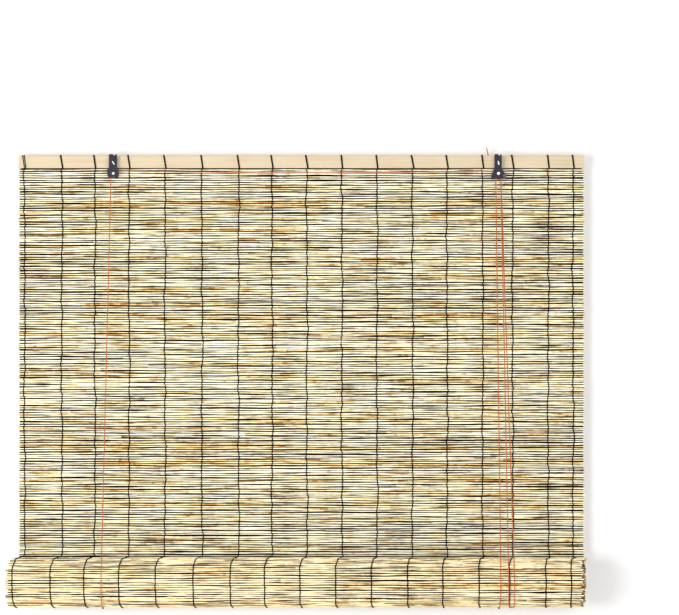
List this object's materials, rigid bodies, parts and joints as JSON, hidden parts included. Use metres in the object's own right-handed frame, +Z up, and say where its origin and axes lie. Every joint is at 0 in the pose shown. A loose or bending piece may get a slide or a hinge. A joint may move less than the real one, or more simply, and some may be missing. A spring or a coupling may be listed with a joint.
{
  "type": "reed roll up blind",
  "caption": "Hanging reed blind, part rolled up from below: a wooden head rail, a mat of reeds tied with dark threads, pulley brackets with hook loops, lift cords and a cord lock.",
  "frame": {"origin": "midway between the two hanging loops at the top of the brackets, on their common axis", "axes": "+X to the viewer's right along the head rail, +Y from the front to the back, +Z up"},
  "size_m": [1.012, 0.0998, 0.8149],
  "materials": {
    "lath_wood": "planed pale wood",
    "hanging_reed": "natural dry reed",
    "rolled_reed": "natural dry reed",
    "dark_thread": "twisted dark thread",
    "bracket_paint": "dark slate paint",
    "bright_steel": "plated steel",
    "wheel_plastic": "moulded plastic",
    "cam_metal": "dark cast metal",
    "terracotta_cord": "twisted terracotta cord"
  },
  "bodies": {
    "rail": {"head_rail": "lath_wood", "rail_lashings": "dark_thread", "reed_mat": "hanging_reed", "warp_threads": "dark_thread", "left_bracket": "bracket_paint", "right_bracket": "bracket_paint", "bracket_screws": "bright_steel", "axle_rivets": "bright_steel", "cam_pin": "bright_steel", "cord_staples": "bright_steel", "wheel_cords": "terracotta_cord", "left_lift_cord": "terracotta_cord", "right_lift_cord": "terracotta_cord", "left_back_cord": "terracotta_cord", "right_back_cord": "terracotta_cord", "left_cord_end": "terracotta_cord", "right_cord_end": "terracotta_cord", "left_pull_strand": "terracotta_cord", "right_pull_strand": "terracotta_cord"},
    "cord_bights": {"lift_cord_bights": "terracotta_cord", "pull_loop": "terracotta_cord"},
    "roll": {"reed_roll": "rolled_reed", "roll_threads": "dark_thread", "bottom_rail": "lath_wood"},
    "left_wheel": {"left_wheel": "wheel_plastic"},
    "right_wheel": {"right_wheel": "wheel_plastic"},
    "lock_cam": {"lock_cam": "cam_metal"}
  },
  "joints": [
    {"name": "roll_lift", "type": "slide", "parent": "rail", "child": "cord_bights", "axis": [0, 0, 1], "range_m": [0, 0.55], "deforming": ["reed_mat", "warp_threads", "left_back_cord", "right_back_cord", "left_lift_cord", "right_lift_cord", "left_pull_strand", "right_pull_strand"]},
    {"name": "roll_turn", "type": "hinge", "parent": "cord_bights", "child": "roll", "pos_m": [0, -0.03465, -0.74735], "axis": [1, 0, 0], "range_deg": [-720, 0]},
    {"name": "left_wheel_spin", "type": "hinge", "parent": "rail", "child": "left_wheel", "pos_m": [-0.332, 0, -0.02955], "axis": [0, 1, 0], "continuous": true},
    {"name": "right_wheel_spin", "type": "hinge", "parent": "rail", "child": "right_wheel", "pos_m": [0.3475, 0, -0.02955], "axis": [0, 1, 0], "continuous": true},
    {"name": "lock_cam_swing", "type": "hinge", "parent": "rail", "child": "lock_cam", "pos_m": [0.3574, 0, -0.03355], "axis": [0, -1, 0], "range_deg": [0, 40]}
  ],
  "couplings": [
    {"joint": "roll_turn", "follows": "roll_lift", "rad_per_m": -22.727},
    {"joint": "left_wheel_spin", "follows": "roll_lift", "rad_per_m": 444.44},
    {"joint": "right_wheel_spin", "follows": "roll_lift", "rad_per_m": 444.44}
  ]
}
